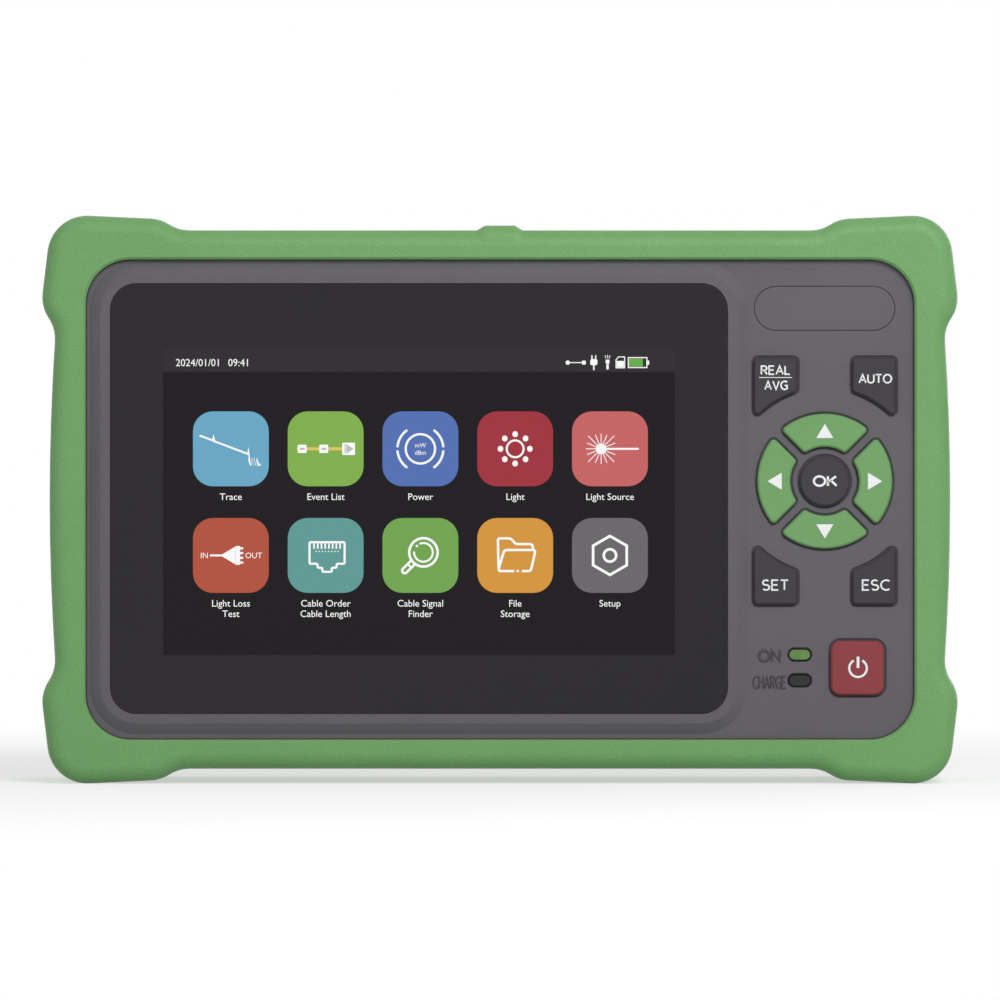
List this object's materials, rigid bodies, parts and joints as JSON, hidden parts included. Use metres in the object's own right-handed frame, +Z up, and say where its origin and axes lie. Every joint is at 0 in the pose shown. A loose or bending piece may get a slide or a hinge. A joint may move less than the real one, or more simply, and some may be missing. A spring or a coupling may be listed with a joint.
{
  "type": "handheld optical time domain reflectometer",
  "caption": "Handheld fibre tester with a wide colour screen, arrow and soft keys, rubber bumper with corner pads, covered connector bay, side flap and kickstand.",
  "frame": {"origin": "middle of the footprint, on the floor, the instrument standing on its bottom edge", "axes": "screen faces -Y, +X to the right of the screen, +Z up"},
  "size_m": [0.1936, 0.046, 0.12],
  "materials": {
    "bumper_rubber": "matte, softly shining, moulded",
    "panel_plastic": "fine matte texture",
    "dark_plastic": "fine matte texture",
    "black_plastic": "satin",
    "black_rubber": "matte",
    "dark_glass": "smoked, polished",
    "display": "polished, lit picture",
    "green_key": "smooth silicone",
    "dark_key": "smooth silicone",
    "red_key": "smooth silicone",
    "clear_silicone": "translucent",
    "on_window": "lit light guide",
    "charge_window": "unlit light guide",
    "lamp": "lamp body",
    "board": "solder resist",
    "battery_wrap": "shrink wrap",
    "steel": "bright",
    "nickel": "nickel plated",
    "gold": "gold plated",
    "ceramic_white": "ground",
    "aluminium": "machined"
  },
  "bodies": {
    "instrument": {"bumper": "bumper_rubber", "front_case": "panel_plastic", "rear_case": "panel_plastic", "case_gasket": "black_rubber", "screen_lens": "dark_glass", "display_module": "display", "display_frame": "steel", "display_screws": "steel", "keypad_mat": "clear_silicone", "keypad_board": "board", "snap_domes": "steel", "keypad_screws": "steel", "indicator_leds": "lamp", "on_indicator": "on_window", "charge_indicator": "charge_window", "battery_pack": "battery_wrap", "battery_contacts": "gold", "battery_cover": "panel_plastic", "cover_screws": "steel", "case_screws": "steel", "speaker": "black_plastic", "main_board": "board", "board_screws": "steel", "optical_module": "aluminium", "light_source": "aluminium", "trace_port": "nickel", "trace_sleeve": "ceramic_white", "meter_port": "nickel", "light_port": "nickel", "network_socket": "black_plastic", "network_contacts": "gold", "supply_socket": "black_plastic", "data_socket": "nickel", "port_screws": "steel", "side_board": "board", "bay_door_pin": "steel", "side_flap_pin": "steel", "kickstand_pins": "steel"},
    "bay_door": {"bay_door": "bumper_rubber", "bay_door_seal": "black_rubber"},
    "side_flap": {"side_flap": "bumper_rubber"},
    "kickstand": {"kickstand": "dark_plastic", "kickstand_foot": "black_rubber"},
    "key_ok": {"key_ok": "dark_key"},
    "key_power": {"key_power": "red_key"},
    "key_right": {"key_right": "green_key"},
    "key_up": {"key_up": "green_key"},
    "key_left": {"key_left": "green_key"},
    "key_down": {"key_down": "green_key"},
    "key_real_avg": {"key_real_avg": "dark_key"},
    "key_auto": {"key_auto": "dark_key"},
    "key_set": {"key_set": "dark_key"},
    "key_esc": {"key_esc": "dark_key"}
  },
  "joints": [
    {"name": "bay_door_hinge", "type": "hinge", "parent": "instrument", "child": "bay_door", "pos_m": [0, 0.0164, 0.1153], "axis": [-1, 0, 0], "range_deg": [0, 105]},
    {"name": "side_flap_hinge", "type": "hinge", "parent": "instrument", "child": "side_flap", "pos_m": [0.093, 0.0146, 0.06], "axis": [0, 0, 1], "range_deg": [0, 100]},
    {"name": "kickstand_hinge", "type": "hinge", "parent": "instrument", "child": "kickstand", "pos_m": [0, 0.0209, 0.0996], "axis": [1, 0, 0], "range_deg": [0, 60]},
    {"name": "key_ok_press", "type": "slide", "parent": "instrument", "child": "key_ok", "axis": [0, 1, 0], "range_m": [0, 0.0007], "stiffness_N_per_m": 900, "springref_m": -0.0004},
    {"name": "key_power_press", "type": "slide", "parent": "instrument", "child": "key_power", "axis": [0, 1, 0], "range_m": [0, 0.0007], "stiffness_N_per_m": 900, "springref_m": -0.0004},
    {"name": "key_right_press", "type": "slide", "parent": "instrument", "child": "key_right", "axis": [0, 1, 0], "range_m": [0, 0.0007], "stiffness_N_per_m": 900, "springref_m": -0.0004},
    {"name": "key_up_press", "type": "slide", "parent": "instrument", "child": "key_up", "axis": [0, 1, 0], "range_m": [0, 0.0007], "stiffness_N_per_m": 900, "springref_m": -0.0004},
    {"name": "key_left_press", "type": "slide", "parent": "instrument", "child": "key_left", "axis": [0, 1, 0], "range_m": [0, 0.0007], "stiffness_N_per_m": 900, "springref_m": -0.0004},
    {"name": "key_down_press", "type": "slide", "parent": "instrument", "child": "key_down", "axis": [0, 1, 0], "range_m": [0, 0.0007], "stiffness_N_per_m": 900, "springref_m": -0.0004},
    {"name": "key_real_avg_press", "type": "slide", "parent": "instrument", "child": "key_real_avg", "axis": [0, 1, 0], "range_m": [0, 0.0007], "stiffness_N_per_m": 900, "springref_m": -0.0004},
    {"name": "key_auto_press", "type": "slide", "parent": "instrument", "child": "key_auto", "axis": [0, 1, 0], "range_m": [0, 0.0007], "stiffness_N_per_m": 900, "springref_m": -0.0004},
    {"name": "key_set_press", "type": "slide", "parent": "instrument", "child": "key_set", "axis": [0, 1, 0], "range_m": [0, 0.0007], "stiffness_N_per_m": 900, "springref_m": -0.0004},
    {"name": "key_esc_press", "type": "slide", "parent": "instrument", "child": "key_esc", "axis": [0, 1, 0], "range_m": [0, 0.0007], "stiffness_N_per_m": 900, "springref_m": -0.0004}
  ]
}
